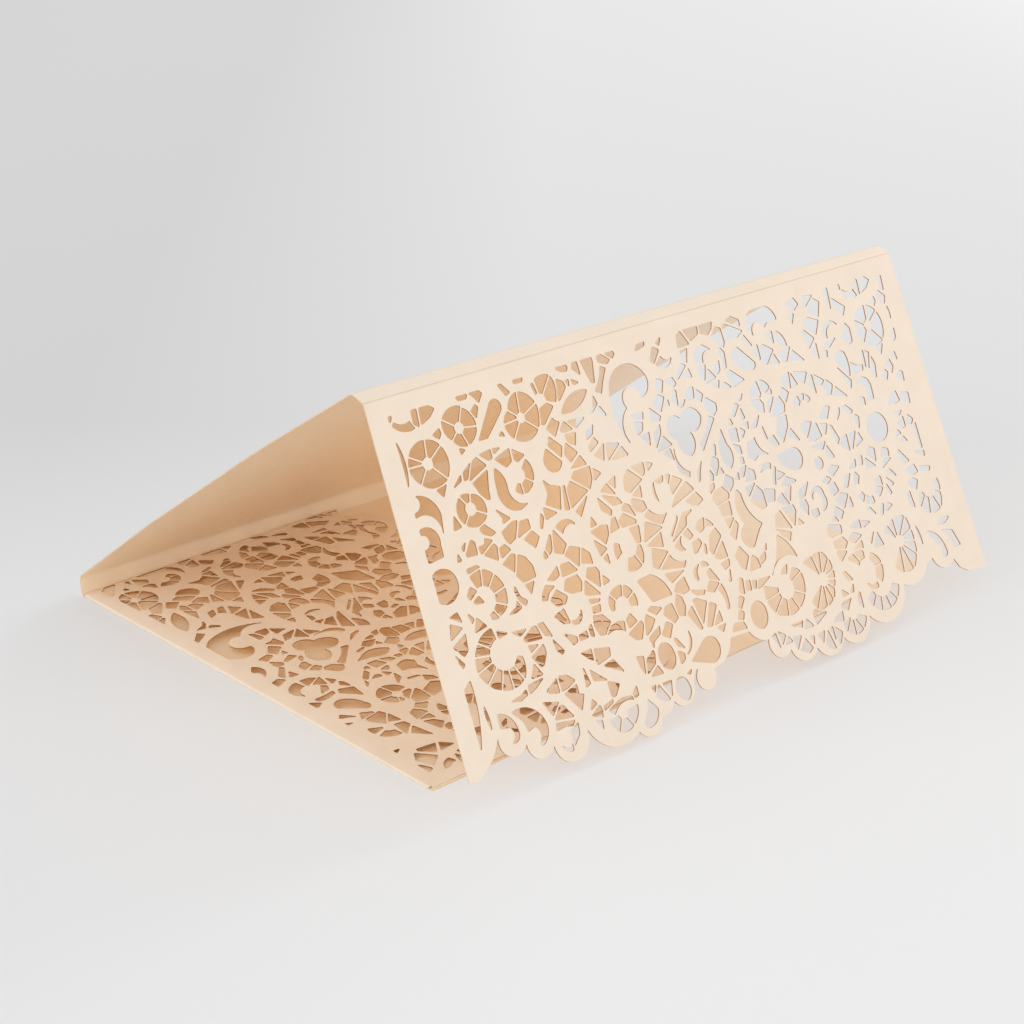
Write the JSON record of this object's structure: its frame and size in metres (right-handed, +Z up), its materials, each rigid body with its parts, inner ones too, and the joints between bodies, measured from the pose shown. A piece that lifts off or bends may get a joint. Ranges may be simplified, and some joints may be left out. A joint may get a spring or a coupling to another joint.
{
  "type": "pocket fold invitation card",
  "caption": "Standing tri-panel card with a scalloped lace flap, folded spine strips and a lace pocket turned over its base.",
  "frame": {"origin": "middle of the underside of the card's box, on the surface it stands on", "axes": "+X along the folds, -Y towards the lace flap, +Z up"},
  "size_m": [0.1842, 0.1524, 0.0847],
  "materials": {
    "pearl_card": "satin"
  },
  "bodies": {
    "root": {"pocket_fold_card": "pearl_card"}
  },
  "joints": []
}
